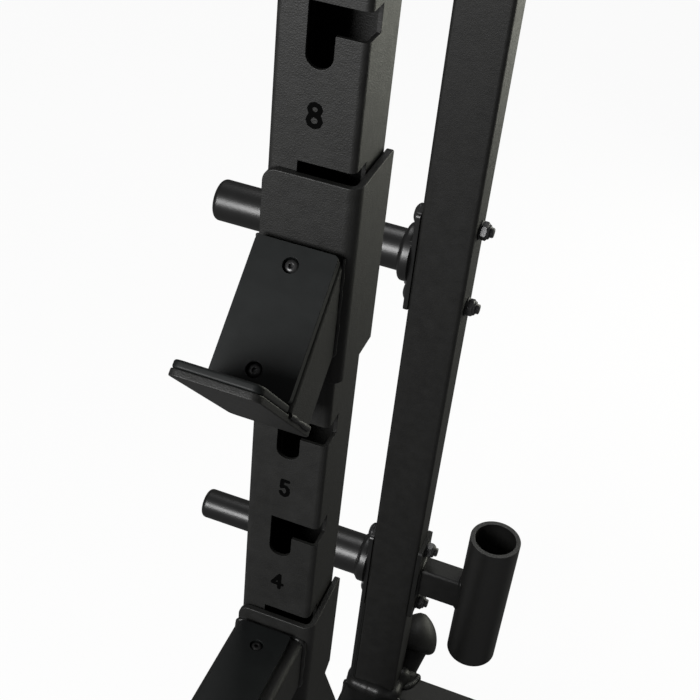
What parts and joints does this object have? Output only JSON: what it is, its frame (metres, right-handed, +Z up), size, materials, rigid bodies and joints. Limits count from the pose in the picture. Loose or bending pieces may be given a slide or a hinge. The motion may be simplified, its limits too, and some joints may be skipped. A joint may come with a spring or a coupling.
{
  "type": "half rack",
  "caption": "Half rack: two side frames of square steel tube with slotted, numbered front uprights, hook-on bar catches and spotter arms, plate pegs, bar holders and a pull-up bar.",
  "frame": {"origin": "on the floor, in the middle of the bounding box", "axes": "+Z up, -Y towards the user, +X to the right as seen from behind the rack"},
  "size_m": [1.692, 1.1522, 2.195],
  "materials": {
    "powder_coat": "fine texture",
    "satin_coat": "satin",
    "hook_steel": "satin",
    "fastener_steel": "black oxide",
    "liner_plastic": "smooth",
    "cap_plastic": "fine grain",
    "pad_rubber": "matte"
  },
  "bodies": {
    "frame": {"left_front_upright": "powder_coat", "right_front_upright": "powder_coat", "left_rear_upright": "powder_coat", "right_rear_upright": "powder_coat", "left_base_runner": "powder_coat", "right_base_runner": "powder_coat", "rear_base_crossmember": "powder_coat", "left_diagonal_brace": "powder_coat", "right_diagonal_brace": "powder_coat", "left_top_beam": "powder_coat", "right_top_beam": "powder_coat", "rear_top_crossmember": "powder_coat", "pull_up_bar": "satin_coat", "left_upper_peg": "satin_coat", "left_lower_peg": "satin_coat", "right_upper_peg": "satin_coat", "right_lower_peg": "satin_coat", "left_holder_bracket": "powder_coat", "left_holder_tube": "powder_coat", "right_holder_bracket": "powder_coat", "right_holder_tube": "powder_coat", "left_band_peg": "satin_coat", "right_band_peg": "satin_coat", "peg_bolts": "fastener_steel", "peg_washers": "fastener_steel", "peg_nuts": "fastener_steel", "bar_screws": "fastener_steel", "upright_caps": "cap_plastic", "runner_caps": "cap_plastic", "crossmember_caps": "cap_plastic", "foot_pads": "pad_rubber"},
    "left_catch": {"left_catch_plate": "powder_coat", "left_catch_hooks": "hook_steel", "left_catch_cradle": "powder_coat", "left_catch_lip": "powder_coat", "left_catch_back_liner": "liner_plastic", "left_catch_lip_liner": "liner_plastic", "left_catch_screws": "fastener_steel"},
    "left_spotter": {"left_spotter_plate": "powder_coat", "left_spotter_hooks": "hook_steel", "left_spotter_tube": "powder_coat", "left_spotter_end_plate": "powder_coat", "left_spotter_liner": "liner_plastic", "left_spotter_screws": "fastener_steel"},
    "right_catch": {"right_catch_plate": "powder_coat", "right_catch_hooks": "hook_steel", "right_catch_cradle": "powder_coat", "right_catch_lip": "powder_coat", "right_catch_back_liner": "liner_plastic", "right_catch_lip_liner": "liner_plastic", "right_catch_screws": "fastener_steel"},
    "right_spotter": {"right_spotter_plate": "powder_coat", "right_spotter_hooks": "hook_steel", "right_spotter_tube": "powder_coat", "right_spotter_end_plate": "powder_coat", "right_spotter_liner": "liner_plastic", "right_spotter_screws": "fastener_steel"}
  },
  "joints": [
    {"name": "left_catch_lift", "type": "slide", "parent": "frame", "child": "left_catch", "axis": [0, 0, 1], "range_m": [0, 0.022]},
    {"name": "left_spotter_lift", "type": "slide", "parent": "frame", "child": "left_spotter", "axis": [0, 0, 1], "range_m": [0, 0.022]},
    {"name": "right_catch_lift", "type": "slide", "parent": "frame", "child": "right_catch", "axis": [0, 0, 1], "range_m": [0, 0.022]},
    {"name": "right_spotter_lift", "type": "slide", "parent": "frame", "child": "right_spotter", "axis": [0, 0, 1], "range_m": [0, 0.022]}
  ]
}
